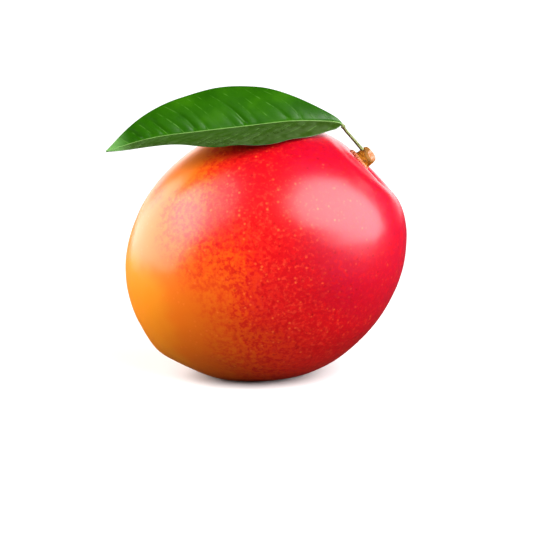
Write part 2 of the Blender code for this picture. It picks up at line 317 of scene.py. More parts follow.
def disc_points(angle, share, above):
    """Points of the top or the underside, from the middle at share 0 to the rim at share 1."""
    reach = disc_reach(angle)
    offset = across_stalk(angle, share * reach)
    skin = skin_height(offset)
    if not above:
        return FRUIT_CENTRE + STALK_AXIS * (skin - DISC_SINK)[..., None] + offset
    slope = math.tan(STUB_LEAN) * (offset @ direction(STALK_RISE + math.pi / 2))
    flat = float(fruit_radius(STALK_AXIS)) + DISC_HEIGHT + slope
    fade = np.clip((share * reach - DISC_FLAT_RADIUS) / (reach - DISC_FLAT_RADIUS), 0, 1)
    rounding = DISC_RIM_THICKNESS * np.sqrt(np.clip(1 - fade**6, 0, 1))
    height = flat + (skin + rounding - flat) * fade
    points = FRUIT_CENTRE + STALK_AXIS * height[..., None] + offset
    crumbs = layered(points, CORK_WAVES) * MM * (1 - fade**4)
    return points + STALK_AXIS * crumbs[..., None]


angle = 2 * np.pi * np.arange(DISC_COLUMNS) / DISC_COLUMNS
outward = np.linspace(0.08, 1.0, 16)
inward = 1 - np.linspace(0.0, 0.97, 44) ** 1.6
lower = disc_points(*np.meshgrid(angle, outward), above=False)
upper = disc_points(*np.meshgrid(angle, inward), above=True)
disc_tips = [disc_points(np.zeros(1), np.zeros(1), above)[0] for above in (False, True)]
disc_mesh = rings_to_mesh("disc", np.concatenate([lower, upper]), *disc_tips)
add_piece("mango_stalk_disc", disc_mesh, "stalk_disc")

# %% [markdown]
# ## The stub of the stalk
#
# The stalk that carried the fruit was cut a few millimetres above the disc. What is left is a squat
# barrel of bark, leaning a little off the disc's axis, with a slanted cut that shows paler wood. It
# is a stack of rings whose points are then brought down onto the cut's plane where they stand above
# it, with a soft minimum, so that the cut has a worn edge.

# %% The stub
STUB_RADIUS = 3.5 * MM
STUB_LENGTH = 5.4 * MM
STUB_SINK = 0.3 * MM
STUB_SWELL = 0.04
STUB_TAPER = 0.10
STUB_FLARE = 0.05
FLARE_SPREAD = 0.12
SHOULDER_SHARE = 0.76
SHOULDER_FLAT = 0.60
STUB_CUT_LENGTH = 4.3 * MM
STUB_CUT_NORMAL = unit(np.array([0.72, -0.55, 0.42]))
STUB_COLUMNS = 160
CUT_SOFTNESS = 0.18 * MM

# Out of round, as for the disc, then the heights of two sizes of ridges, as shares of the radius.
STUB_WAVES = [(2, 0.03, 0.8), (3, 0.02, -1.1)]
WIDE_RIDGES = 0.014
FINE_RIDGES = 0.010
BARK_WAVES = [(0.05, 1.3 * MM, 12, 31), (0.03, 0.5 * MM, 12, 32)]
CUT_WAVES = [(0.04, 0.6 * MM, 14, 33)]

stub_axis = direction(STALK_RISE - STUB_LEAN)
stub_foot = FRUIT_CENTRE + STALK_AXIS * (float(fruit_radius(STALK_AXIS)) + DISC_HEIGHT)


def stub_radius(angle, share):
    """A barrel that narrows upwards, a little out of round, with fine ridges along the bark."""
    swell = 1 + STUB_SWELL * np.sin(np.pi * share) - STUB_TAPER * share
    over = np.clip((share - SHOULDER_SHARE) / (1 - SHOULDER_SHARE), 0, 1)
    shoulder = SHOULDER_FLAT + (1 - SHOULDER_FLAT) * np.sqrt(1 - over**2)
    uneven = 1 + sum(amount * np.cos(number * angle + phase) for number, amount, phase in STUB_WAVES)
    ridges = WIDE_RIDGES * np.cos(11 * angle + 2.2 * np.sin(3 * share))
    ridges = ridges + FINE_RIDGES * np.cos(19 * angle - 2.0 * share)
    flare = 1 + STUB_FLARE * np.exp(-((share / FLARE_SPREAD) ** 2))
    return STUB_RADIUS * swell * shoulder * uneven * flare * (1 + ridges * (1 - over))


def cut_down(points):
    """Lowers points above the cut's plane onto it. A soft minimum rounds the edge."""
    height = (points - stub_foot - stub_axis * STUB_CUT_LENGTH) @ STUB_CUT_NORMAL
    lowered = (height - np.hypot(height, CUT_SOFTNESS)) / 2
    slant = stub_axis @ STUB_CUT_NORMAL
    return points + stub_axis * ((lowered - height) / slant)[..., None]


def stub_points(angle, share):
    """Rings along the stub's axis, roughened by small waves and lowered onto the cut."""
    offset = across_stalk(angle, stub_radius(angle, share), STUB_LEAN)
    points = stub_foot + stub_axis * (share * STUB_LENGTH - STUB_SINK)[..., None] + offset
    rough = layered(points, BARK_WAVES) * MM
    return cut_down(points + unit(offset) * rough[..., None])


def stub_top_points(angle, share):
    """The top inside the shoulder, from its rim at share 0 to the axis at share 1."""
    offset = across_stalk(angle, stub_radius(angle, np.ones_like(share)) * (1 - share), STUB_LEAN)
    points = stub_foot + stub_axis * (STUB_LENGTH - STUB_SINK) + offset
    fibres = layered(points, CUT_WAVES) * MM
    return cut_down(points) + STUB_CUT_NORMAL * fibres[..., None]


angle = 2 * np.pi * np.arange(STUB_COLUMNS) / STUB_COLUMNS
shoulder = 1 - (1 - SHOULDER_SHARE) * np.linspace(1, 0, 30)[1:] ** 1.8
climb = np.concatenate([np.linspace(0, SHOULDER_SHARE, 40), shoulder])
side = stub_points(*np.meshgrid(angle, climb))
top = stub_top_points(*np.meshgrid(angle, np.linspace(0.03, 0.96, 30)))
stub_top = stub_top_points(np.zeros(1), np.ones(1))[0]
stub_mesh = rings_to_mesh("stub", np.concatenate([side, top]), stub_foot - stub_axis * STUB_SINK, stub_top)
add_piece("mango_fruit_stalk", stub_mesh, "fruit_stalk")

# %% [markdown]
# ## The leaf's stalk
#
# A thin green rod comes out of the side of the stub and ends in a swollen knob, with which the leaf
# can turn to the light. It is a circle carried along a smooth route, with a radius for every place
# on the route. Both ends run on into their neighbours.

# %% The leaf's stalk
LEAF_STALK_RADIUS = 0.59 * MM
KNOB_RADIUS = 0.92 * MM
LEAF_STALK_ROUTE = np.array([
    (43.9, -0.7, 91.1), (43.0, -1.0, 92.2), (39.2, -3.2, 96.7), (37.4, -4.5, 98.8),
    (36.3, -5.3, 100.2), (35.8, -5.75, 100.95), (35.45, -5.9, 101.6), (35.0, -5.9, 102.3),
]) * MM
KNOB_PLACE = 0.80
KNOB_SPREAD = 0.085
FOOT_FLARE = 0.25 * MM
FOOT_SPREAD = 0.17
ROD_RIBS = 5
ROD_RIB_HEIGHT = 0.04
WRINKLE_HEIGHT = 0.03 * MM
WRINKLE_TURN = 170
WRINKLE_SPREAD = 0.1


def on_route(route, share):
    """Points on the smooth curve through evenly weighted points (Catmull-Rom), at these shares."""
    place = np.clip(share, 0, 1) * (len(route) - 1)
    index = np.minimum(place.astype(int), len(route) - 2)
    part = (place - index)[..., None]
    longer = np.concatenate([[2 * route[0] - route[1]], route, [2 * route[-1] - route[-2]]])
    before, start, end, after = (longer[index + step] for step in range(4))
    return 0.5 * (
        2 * start
        + (end - before) * part
        + (2 * before - 5 * start + 4 * end - after) * part**2
        + (3 * start - 3 * end + after - before) * part**3
    )


def leaf_stalk_points(angle, share):
    """A circle round the route, wider at the knob and slightly ribbed."""
    step = 0.004
    middle = on_route(LEAF_STALK_ROUTE, share)
    run = unit(on_route(LEAF_STALK_ROUTE, share + step) - on_route(LEAF_STALK_ROUTE, share - step))
    side = unit(np.cross(run, np.array([0.0, 1.0, 0.3])))
    over = np.cross(side, run)
    knob = (KNOB_RADIUS - LEAF_STALK_RADIUS) * np.exp(-(((share - KNOB_PLACE) / KNOB_SPREAD) ** 2))
    foot = FOOT_FLARE * np.exp(-((share / FOOT_SPREAD) ** 2))
    ribs = 1 + ROD_RIB_HEIGHT * np.cos(ROD_RIBS * angle + 1.0)
    radius = (LEAF_STALK_RADIUS + knob + foot) * ribs
    ring = side * np.cos(angle)[..., None] + over * np.sin(angle)[..., None]
    wrinkled = np.exp(-(((share - KNOB_PLACE) / WRINKLE_SPREAD) ** 2))
    wrinkle = WRINKLE_HEIGHT * np.sin(share * WRINKLE_TURN) * wrinkled
    return middle + ring * (radius + wrinkle)[..., None]


angle = 2 * np.pi * np.arange(40) / 40
share = np.linspace(0.0, 1.0, 220)
leaf_stalk_mesh = rings_to_mesh(
    "leaf stalk", leaf_stalk_points(*np.meshgrid(angle, share)), LEAF_STALK_ROUTE[0], LEAF_STALK_ROUTE[-1]
)
add_piece("mango_leaf_stalk", leaf_stalk_mesh, "leaf_stalk")

# %% [markdown]
# ## The leaf
#
# A mango leaf is a stiff, shiny lance, folded along its midrib, with side veins that leave the midrib
# every few millimetres and bend towards the tip. Its middle surface is a function of two shares: how
# far along the midrib, and how far out from it. The veins and the low pillows between them are heights
# on that surface, so that light breaks on them in streaks, as it does on the real one. Some veins lie
# in a groove near the midrib, and there the underside bulges with them.

# %% The leaf's form
LEAF_ROUTE = np.array([
    (35.1, -5.9, 103.15), (16.6, -6.8, 103.5), (-1.8, -8.3, 101.7),
    (-20.1, -10.3, 99.8), (-38.2, -12.8, 97.6), (-55.9, -15.9, 92.9),
]) * MM
LEAF_LENGTH = 93 * MM
LEAF_BASE_DROP = 0.9 * MM
LEAF_BASE_BEND = 0.02
LEAF_HALF_WIDTH = 17.4 * MM
LEAF_END_HALF_WIDTH = 0.35 * MM
LEAF_THICKNESS = 0.36 * MM
LANCE_POWER = 0.73
LANCE_POWER_GAIN = 0.21

# At even steps from the stalk to the tip: how steeply each half stands up or hangs, in degrees, and
# its width as a share of the plain lance's.
FAR_HALF_RISE = (60.0, 60.0, 60.0, 60.0)
FAR_HALF_SHARE = (0.77, 1.045, 0.98, 1.00)
NEAR_HALF_DROOP = (39.0, 19.0, 12.5, 7.7, 17.3)
NEAR_HALF_SHARE = (1.06, 1.24, 1.17, 1.10, 1.07)
NEAR_BASE_LOBE = 0.55
NEAR_BASE_REACH = 0.033
LEAF_BOW = 0.03
EDGE_WAVE = 0.18 * MM
EDGE_WAVES = 4.5


def along_table(values, share):
    """Reads evenly spaced values at a share of their length, with smooth steps between them."""
    values = np.asarray(values)
    place = share * (len(values) - 1)
    index = np.minimum(place.astype(int), len(values) - 2)
    part = place - index
    part = part * part * (3 - 2 * part)
    return values[index] * (1 - part) + values[index + 1] * part


def midrib_points(share):
    """The route of the midrib, with its first millimetres turned down to the knob."""
    drop = LEAF_BASE_DROP * np.exp(-share / LEAF_BASE_BEND)
    return on_route(LEAF_ROUTE, share) - drop[..., None] * np.array([0.0, 0.0, 1.0])


def half_width(share, across):
    """The lance outline, a sine raised to a power that grows towards the tip. The near half is wider."""
    full = np.maximum(0, np.sin(np.pi * share)) ** (LANCE_POWER + LANCE_POWER_GAIN * share)
    width = np.hypot(LEAF_HALF_WIDTH * full, LEAF_END_HALF_WIDTH)
    lobe = 1 + NEAR_BASE_LOBE * np.exp(-((share / NEAR_BASE_REACH) ** 2))
    near = along_table(NEAR_HALF_SHARE, share) * lobe
    return width * np.where(across < 0, near, along_table(FAR_HALF_SHARE, share))


def leaf_middle(share, across):
    """The middle surface: out from the midrib on each side's own slope, with a bow and a wavy edge."""
    step = 0.002
    rib = midrib_points(share)
    run = unit(midrib_points(np.minimum(1, share + step)) - midrib_points(np.maximum(0, share - step)))
    near = across < 0
    rise = np.where(near, along_table(NEAR_HALF_DROOP, share), along_table(FAR_HALF_RISE, share))
    slope = np.radians(rise)
    hand = np.where(near, -1.0, 1.0)
    way = np.stack([np.zeros_like(slope), hand * np.cos(slope), hand * np.sin(slope)], axis=-1)
    way = unit(way - run * (way * run).sum(axis=-1, keepdims=True))
    upwards = np.cross(way, run) * hand[..., None]
    out = np.abs(across)
    width = half_width(share, across)
    bow = 4 * LEAF_BOW * width * (out - out**2)
    phase = 2 * np.pi * EDGE_WAVES * share + np.where(near, 0.9, 0.0)
    wave = EDGE_WAVE * np.sin(phase) * out**2 * np.sin(np.pi * share)
    return rib + way * (width * out)[..., None] + upwards * (bow + wave)[..., None]


widest = half_width(np.full(1, 0.5), np.full(1, -1.0))[0]
print("the leaf's near half is", round(float(widest) / MM, 1), "mm wide at its middle")

# %% The veins of the leaf
VEIN_SPACING = 5.2 * MM
VEIN_LEAN = 0.62
VEIN_CURL = 0.020 / MM
VEIN_HALF_WIDTH = 0.28 * MM
VEIN_WANDER = [(0.10, 7.3 * MM, 0.0), (0.08, 3.1 * MM, 1.0)]
NEAR_VEIN_SHIFT = 0.45
PILLOW_HEIGHT = 0.09 * MM
GROOVE_DEPTH = 0.54 * MM
GROOVE_HALF_WIDTH = 1.00 * MM
GROOVE_REACH = 11.0 * MM
GROOVE_SHARE_BELOW = 0.7
VEIN_ABOVE = 0.02 * MM
VEIN_BELOW = 0.10 * MM

# How full the pillow after each vein is, and how deep its groove, counted from the stalk.
PILLOW_SHARES = np.array([
    0, 0.2, 0.2, 0.2, 0.3, 0.2, 0.4, 0.5, 0.2, 0.3, 0.5, 0.7, 0.5, 0.9, 0.9, 0.8, 0.8, 0.5, 0.2, 0,
])
GROOVE_SHARES = np.array([
    0, 0.1, 0, 0.1, 0.3, 0, 0.1, 1.0, 0.1, 0, 0.2, 0.8, 0.2, 1.0, 0.5, 0.9, 0.7, 0.3, 0, 0,
])
NEAR_RELIEF = 0.25
MIDRIB_HALF_WIDTH = 0.55 * MM
MIDRIB_BELOW = 0.55 * MM
MIDRIB_ABOVE = 0.16 * MM
MIDRIB_TAPER = 0.65
MIDRIB_CALM = 1.2 * MM
EDGE_SQUARENESS = 24


def vein_count(along, out):
    """A number that passes a whole number on each side vein: veins lean and curl towards the tip."""
    uneven = sum(amount * np.sin(along / length + phase) for amount, length, phase in VEIN_WANDER)
    return (along - VEIN_LEAN * out - VEIN_CURL * out**2) / VEIN_SPACING + uneven


def leaf_heights(share, across):
    """How far the top and the underside stand from the middle surface: blade, veins and midrib."""
    out = np.abs(across) * half_width(share, across)
    along = share * LEAF_LENGTH
    count = vein_count(along, out) + np.where(across < 0, NEAR_VEIN_SHIFT, 0.0)
    away = np.abs(count - np.round(count)) * VEIN_SPACING
    edge = 1 - np.abs(across) ** 3
    grown = 1 - np.exp(-((out / MIDRIB_CALM) ** 2))
    vein = np.exp(-((away / VEIN_HALF_WIDTH) ** 2)) * edge
    pillow = PILLOW_HEIGHT * np.sin(np.pi * (count - np.floor(count))) ** 2 * edge * grown
    pillow = pillow * PILLOW_SHARES[np.clip(np.floor(count).astype(int), 0, len(PILLOW_SHARES) - 1)]
    depth = GROOVE_SHARES[np.clip(np.round(count).astype(int), 0, len(GROOVE_SHARES) - 1)]
    depth = depth * np.exp(-((out / GROOVE_REACH) ** 2))
    groove = GROOVE_DEPTH * depth * np.exp(-((away / GROOVE_HALF_WIDTH) ** 2)) * edge * grown
    flatter = np.where(across < 0, NEAR_RELIEF, 1.0)
    pillow = pillow * flatter
    groove = groove * flatter
    taper = 1 - MIDRIB_TAPER * share
    rib = np.exp(-((out / (MIDRIB_HALF_WIDTH * taper)) ** 2)) * taper
    rounding = np.sqrt(np.clip(1 - np.abs(across) ** EDGE_SQUARENESS, 0.02, 1))
    half = LEAF_THICKNESS / 2 * rounding
    above = half + pillow - groove + MIDRIB_ABOVE * rib + VEIN_ABOVE * vein
    below = half - pillow + GROOVE_SHARE_BELOW * groove + MIDRIB_BELOW * rib + VEIN_BELOW * vein
    return above, below


print("the midrib passes about", round(float(vein_count(LEAF_LENGTH, 0.0))), "side veins on each side")

# %% The leaf's mesh
LEAF_ROWS = 420
LEAF_COLUMNS = 111


def grid_normals(points):
    """Upward normals of a grid, from the difference between each point's neighbours."""
    along = np.gradient(points, axis=0)
    sideways = np.gradient(points, axis=1)
    return unit(np.cross(sideways, along))


def grid_quads(rows, columns):
    """The quads of an open grid of points."""
    row, column = np.meshgrid(np.arange(rows - 1), np.arange(columns - 1), indexing="ij")
    corner = row * columns + column
    return np.stack([corner, corner + 1, corner + columns + 1, corner + columns], axis=-1).reshape(-1, 4)


spread = np.linspace(-1, 1, LEAF_COLUMNS)
across = np.sign(spread) * (0.35 * np.abs(spread) + 0.65 * (1 - (1 - np.abs(spread)) ** 1.7))
share = np.linspace(0, 1, LEAF_ROWS)
share = share - 0.5 * np.sin(2 * np.pi * share) / (2 * np.pi)
share, across = np.meshgrid(share, across, indexing="ij")
middle = leaf_middle(share, across)
normals = grid_normals(middle)
above, below = leaf_heights(share, across)
top_points = middle + normals * above[..., None]
low_points = middle - normals * below[..., None]

count = LEAF_ROWS * LEAF_COLUMNS
numbers = np.arange(count).reshape(LEAF_ROWS, LEAF_COLUMNS)
border = np.concatenate([numbers[0, :-1], numbers[:-1, -1], numbers[-1, :0:-1], numbers[:0:-1, 0]])
following = np.roll(border, -1)
edge_quads = np.stack([border, border + count, following + count, following], axis=-1)
top_quads = grid_quads(LEAF_ROWS, LEAF_COLUMNS)
low_quads = grid_quads(LEAF_ROWS, LEAF_COLUMNS)[:, ::-1] + count
leaf_points = np.concatenate([top_points.reshape(-1, 3), low_points.reshape(-1, 3)])
leaf_mesh = mesh_from("leaf", leaf_points, [top_quads, low_quads, edge_quads])
add_piece("mango_leaf", leaf_mesh, "leaf")

# %% [markdown]
# The leaf's pattern has to follow its surface, so two lengths are kept for every point: how far along
# the midrib it lies and how far out from it, in centimetres, with the near half negative. A third
# value tells the top from the underside. The material reads them by name.

# %% What the leaf's material needs to know
CM = 0.01


def keep_values(mesh, name, values):
    """Keeps one number for each point of a mesh under a name."""
    attribute = mesh.attributes.new(name, "FLOAT", "POINT")
    attribute.data.foreach_set("value", values.astype(np.float32).ravel())
    print(name, "runs from", round(float(values.min()), 2), "to", round(float(values.max()), 2))


out = across * half_width(share, across)
keep_values(leaf_mesh, "along", np.concatenate([share.ravel(), share.ravel()]) * LEAF_LENGTH / CM)
keep_values(leaf_mesh, "out", np.concatenate([out.ravel(), out.ravel()]) / CM)
keep_values(leaf_mesh, "edge", np.concatenate([np.abs(across).ravel(), np.abs(across).ravel()]))
keep_values(leaf_mesh, "top", np.concatenate([np.ones(count), np.zeros(count)]))

# %% [markdown]
# ## Helpers for materials
#
# Colours are written as they look on a screen and turned into the linear values that light works
# with. One small function adds a node with its settings and its links, so that each material below
# reads as a list of what it does. A second one lays coats of colour over one another, each where all of
# its fades are high. The last one joins the finished colour and its fine relief to the shader.

# %% Colours and nodes
SMOOTH = {"interpolation_type": "SMOOTHSTEP"}

# A Mix node has a set of sockets for each kind of value. These are the ones it blends colours with.
SHARE, UNDER, OVER, BLENDED = 0, 6, 7, 2


def linear(code):
    """An sRGB colour such as "#FFA51E" as linear red, green, blue and alpha."""
    values = np.array([int(code[place:place + 2], 16) for place in (1, 3, 5)]) / 255
    curved = np.where(values <= 0.04045, values / 12.92, ((values + 0.055) / 1.055) ** 2.4)
    return (*curved.tolist(), 1.0)


def add_node(tree, kind, inputs=(), output=0, stops=(), **settings):
    """Adds a node and returns one of its outputs.

    Inputs are in order, or by name or number: numbers, vectors, sRGB codes or other nodes' outputs.
    Stops are the places and sRGB codes of a ramp. Settings are the node's own properties.
    """
    node = tree.nodes.new("ShaderNode" + kind)
    for name, value in settings.items():
        setattr(node, name, value)
    for name, value in inputs.items() if isinstance(inputs, dict) else enumerate(inputs):
        if isinstance(value, bpy.types.NodeSocket):
            tree.links.new(value, node.inputs[name])
        else:
            node.inputs[name].default_value = linear(value) if isinstance(value, str) else value
    if stops:
        node.color_ramp.interpolation = "EASE"
        while len(node.color_ramp.elements) < len(stops):
            node.color_ramp.elements.new(0.5)
        for element, (place, code) in zip(node.color_ramp.elements, stops):
            element.position = place
            element.color = linear(code)
    return node.outputs[output]


print("mid grey on a screen is", round(linear("#808080")[0], 3), "as light")


# %% Materials
def new_material(name, roughness, **sockets):
    """A material with a Principled shader, a way to add its nodes, and where Object coordinates come out."""
    material = bpy.data.materials.new(name)
    material.use_nodes = True
    shader = material.node_tree.nodes["Principled BSDF"]
    shader.inputs["Roughness"].default_value = roughness
    for socket, value in sockets.items():
        shader.inputs[socket.replace("_", " ")].default_value = value
    add = partial(add_node, material.node_tree)
    return material, add, shader, add("TexCoord", output="Object")


def lay_over(add, colour, coats):
    """Lays coats of colour over a colour, each as its amount times all of its fades.

    A fade is a value, where it starts and where it is full, with a smooth step between them.
    """
    for fades, amount, coat, mode in coats:
        share = amount
        for value, start, full in fades:
            shown = add("MapRange", (value, start, full), **SMOOTH)
            share = add("Math", (share, shown), operation="MULTIPLY")
        sockets = {SHARE: share, UNDER: colour, OVER: coat}
        colour = add("Mix", sockets, BLENDED, data_type="RGBA", blend_type=mode)
    return colour


def finish_material(material, shader, colour, relief=None, strength=0.0, depth=0.0):
    """Joins the colour to the shader, and the relief through a bump of this strength and depth."""
    tree = material.node_tree
    tree.links.new(colour, shader.inputs["Base Color"])
    if relief:
        bump = add_node(tree, "Bump", {"Strength": strength, "Distance": depth, "Height": relief})
        tree.links.new(bump, shader.inputs["Normal"])
    print(material.name, "has", len(tree.nodes), "nodes")
    return material


# %% [markdown]
# ## The skin
#
# Mango skin is a thin waxy layer over coloured cells. The side that hung in the sun turned crimson,
# the shaded side stayed golden orange, and between them the red comes as a fine grain over the gold.
# The blush is the angle to one direction, shifted by clouds of noise and by a few soft patches. Small
# pores, called lenticels, lie all over it. They are cells of a Voronoi pattern, and a random number of
# each cell makes its pore pale, dark or unseen. The grain, specks, freckles and pores all have sizes in
# millimetres.
#
# The wax is a clear coat with a roughness of 0.28, for a shine with soft edges. Real wax has an index
# of 1.45. A coat with a higher index and about half the weight shines as much from the front and
# whitens less at the rims, which came closer to the photo and keeps the back view clear.

# %% What the skin is made from
BLUSH_WAY = np.array([0.60, 0.0, 0.15])
BLUSH_MIDDLE = 0.52
BLOTCH_SIZE = 22 * MM
BLOTCH_AMOUNT = 0.24
GRAIN_SIZE = 1.8 * MM
GRAIN_AMOUNT = 0.23
GRAIN_RED_SHARE = 0.35
SPECK_SIZE = 1.8 * MM
FRECKLE_SIZE = 1.5 * MM
PORE_SPACING = 2.1 * MM
PORE_RADIUS = 0.40 * MM
PORE_DEPTH = 0.35
SKIN_RELIEF = 0.06 * MM

# Where gold and crimson mix, as a fade of the blush.
MIXED = (0.11, 0.42)

# Patches of more or less blush: a direction from the fruit's centre, how far the patch reaches in
# degrees, and what it adds.
PATCHES = [
    ((-0.40, -0.72, 0.57), 30, 0.20),
    ((-0.52, -0.37, 0.77), 26, -0.24),
    ((-0.90, -0.30, 0.32), 36, 0.10),
    ((0.10, -0.50, 0.86), 40, 0.18),
    ((0.30, -0.93, 0.00), 40, 0.14),
    ((-0.58, -0.80, 0.10), 26, 0.06),
]

# From the golden side to the crimson side.
BLUSH_COLOURS = [
    (0.00, "#E2881A"), (0.12, "#E07212"), (0.28, "#DC5010"), (0.42, "#D63414"),
    (0.55, "#CE1E1A"), (0.70, "#C00A16"), (0.86, "#AC001C"), (1.00, "#A6002A"),
]
print("each square centimetre of skin has about", round((10 * MM / PORE_SPACING) ** 2), "pores")


# %% The blush
def blush_of(add, place):
    """How red each point is: the dot product with one direction, plus clouds, plus the patches."""
    from_centre = add("VectorMath", (place, FRUIT_CENTRE.tolist()), operation="SUBTRACT")
    way = add("VectorMath", (from_centre,), operation="NORMALIZE")
    clouds = add("TexNoise", {"Vector": place, "Scale": 1 / BLOTCH_SIZE, "Detail": 3.0})
    lowest = BLUSH_MIDDLE - BLOTCH_AMOUNT / 2
    blush = add("Math", (clouds, BLOTCH_AMOUNT, lowest), operation="MULTIPLY_ADD")
    sunward = add("VectorMath", (way, BLUSH_WAY.tolist()), "Value", operation="DOT_PRODUCT")
    blush = add("Math", (blush, sunward), operation="ADD")
    for middle, reach, amount in PATCHES:
        middle = unit(np.array(middle)).tolist()
        towards = add("VectorMath", (way, middle), "Value", operation="DOT_PRODUCT")
        near = add("MapRange", (towards, math.cos(math.radians(reach)), 1.0), **SMOOTH)
        blush = add("Math", (near, amount, blush), operation="MULTIPLY_ADD")
    return blush


# %% The waxy skin
def waxy_skin():
    """Coloured cells under a coat of wax, which gives broad shines with soft edges."""
    material, add, shader, place = new_material(
        "waxy mango skin", 0.50, IOR=1.4, Specular_IOR_Level=0.05,
        Coat_Weight=0.55, Coat_Roughness=0.28, Coat_IOR=1.75,
    )
    even = blush_of(add, place)
    mixed = add("MapRange", (even, *MIXED), **SMOOTH)
    grain = add("TexNoise", {"Vector": place, "Scale": 1 / GRAIN_SIZE, "Detail": 4.0, "Roughness": 0.7})
    redder = GRAIN_AMOUNT * GRAIN_RED_SHARE
    grainy = add("MapRange", (grain, 0.35, 0.65, redder, redder - GRAIN_AMOUNT), **SMOOTH)
    blush = add("Math", (grainy, mixed, even), operation="MULTIPLY_ADD")
    specks = add("TexNoise", {"Vector": place, "Scale": 1 / SPECK_SIZE, "Detail": 3.0, "Roughness": 0.6})
    freckles = add("TexNoise", {"Vector": place, "Scale": 1 / FRECKLE_SIZE, "Roughness": 0.6})
    from_pore = add("TexVoronoi", {"Vector": place, "Scale": 1 / PORE_SPACING}, "Distance")
    chance = add("SeparateColor", (from_pore.node.outputs["Color"],))
    pore_share = PORE_RADIUS / PORE_SPACING
    in_pore = (from_pore, 1.8 * pore_share, 0.4 * pore_share)
    colour = lay_over(add, add("ValToRGB", (blush,), stops=BLUSH_COLOURS), [
        ([(specks, 0.52, 0.36), (even, *MIXED)], 0.60, "#C20C0E", "MIX"),
        ([in_pore, (chance, 0.55, 0.0), (even, *MIXED)], 0.75, "#D48C90", "MULTIPLY"),
        ([in_pore, (chance, 0.45, 1.0), (blush, 1.30, 0.60)], 0.46, "#F28440", "MIX"),
        ([(freckles, 0.50, 0.68), (blush, 1.05, 0.65), (blush, 0.30, 0.60)], 0.34, "#E85838", "MIX"),
    ])
    sunk = add("MapRange", in_pore, **SMOOTH)
    relief = add("Math", (sunk, -PORE_DEPTH, grain), operation="MULTIPLY_ADD")
    return finish_material(material, shader, colour, relief, 0.45, SKIN_RELIEF)


fruit_mesh.materials.append(waxy_skin())

# %% [markdown]
# ## Cork and bark
#
# The disc is dry cork, pale where it crumbled and darker in its pits. The stub is ochre bark with
# darker mottling, and its cut shows pinkish wood in a ragged patch with a brown margin. Whether a
# point belongs to the cut is told by its height above the cut's plane, so the colour changes exactly
# at the worn edge.

# %% The cork
CRUMB_SIZE = 0.9 * MM
CORK_RELIEF = 0.15 * MM
CORK_COLOURS = [(0.30, "#6E3018"), (0.48, "#B06644"), (0.70, "#CC947A")]


def dry_cork():
    """Crumbled cork: dull all over, so only its pits and crumbs show."""
    material, add, shader, place = new_material("dry cork", 0.8, IOR=1.4)
    crumbs = add("TexNoise", {"Vector": place, "Scale": 1 / CRUMB_SIZE, "Detail": 4.0, "Roughness": 0.65})
    colour = add("ValToRGB", (crumbs,), stops=CORK_COLOURS)
    return finish_material(material, shader, colour, crumbs, 0.6, CORK_RELIEF)


disc_mesh.materials.append(dry_cork())

# %% The bark and the cut
MOTTLE_SIZE = 1.6 * MM
BARK_RELIEF = 0.12 * MM

# The fibres of real wood are finer. They are drawn as coarse as they need to show.
FIBRE_SIZE = 0.7 * MM

# Each from its darkest to its palest colour.
BARK_COLOURS = [(0.30, "#6A3C04"), (0.50, "#98600A"), (0.72, "#AE7A1C")]
MARGIN_COLOURS = [(0.30, "#5A3404"), (0.50, "#744A08"), (0.72, "#84561A")]
WOOD_COLOURS = [(0.30, "#8A4410"), (0.48, "#A26A44"), (0.66, "#B89484")]

# The patch of wood: its middle from the cut's middle, how ragged it is, and where it fades out.
WOOD_OFFSET = np.array([0.3, 0.0, -0.9]) * MM
WOOD_RAGGEDNESS = 2.4 * MM
WOOD_EDGE = (3.9 * MM, 2.9 * MM)
CUT_EDGE = (-0.22 * MM, -0.08 * MM)


def stalk_bark():
    """Half-dull bark. Wood shows above the cut's plane and near the cut's middle, with a ragged edge."""
    material, add, shader, place = new_material("stalk bark", 0.62, IOR=1.45, Specular_IOR_Level=0.35)
    cut_middle = (stub_foot + stub_axis * STUB_CUT_LENGTH).tolist()
    from_cut = add("VectorMath", (place, cut_middle), operation="SUBTRACT")
    height = add("VectorMath", (from_cut, STUB_CUT_NORMAL.tolist()), "Value", operation="DOT_PRODUCT")
    from_wood = add("VectorMath", (from_cut, WOOD_OFFSET.tolist()), operation="SUBTRACT")
    reach = add("VectorMath", (from_wood,), "Value", operation="LENGTH")
    mottle = add("TexNoise", {"Vector": place, "Scale": 1 / MOTTLE_SIZE, "Detail": 4.0, "Roughness": 0.6})
    fibres = add("TexNoise", {"Vector": place, "Scale": 1 / FIBRE_SIZE, "Detail": 3.0, "Roughness": 0.6})
    bark = add("ValToRGB", (mottle,), stops=BARK_COLOURS)
    margin = add("ValToRGB", (mottle,), stops=MARGIN_COLOURS)
    wood = add("ValToRGB", (fibres,), stops=WOOD_COLOURS)
    ragged = add("Math", (mottle, WOOD_RAGGEDNESS, reach), operation="MULTIPLY_ADD")
    cut = lay_over(add, margin, [([(ragged, *WOOD_EDGE)], 1.0, wood, "MIX")])
    colour = lay_over(add, bark, [([(height, *CUT_EDGE)], 1.0, cut, "MIX")])
    return finish_material(material, shader, colour, mottle, 0.5, BARK_RELIEF)


stub_mesh.materials.append(stalk_bark())

# %% [markdown]
# ## Leaf stalk and leaf
#
# The leaf's stalk is olive green, with painted shade on the side that faces down. The blade is a
# thick cuticle over dark green cells: deep green on top, paler below, and greyer on the near half,
# where the green carries a painted grey sheen and painted shade between the veins. The midrib is a
# pale yellow-green line, the side veins are finer and fainter and come and go, a thin dark rim runs
# round the edge, and the last centimetre towards the tip is paler.

# %% The skin of the leaf's stalk
STREAK_SIZE = 1.2 * MM
STALK_COLOURS = [(0.30, "#56602E"), (0.52, "#747E4E"), (0.75, "#8C946C")]


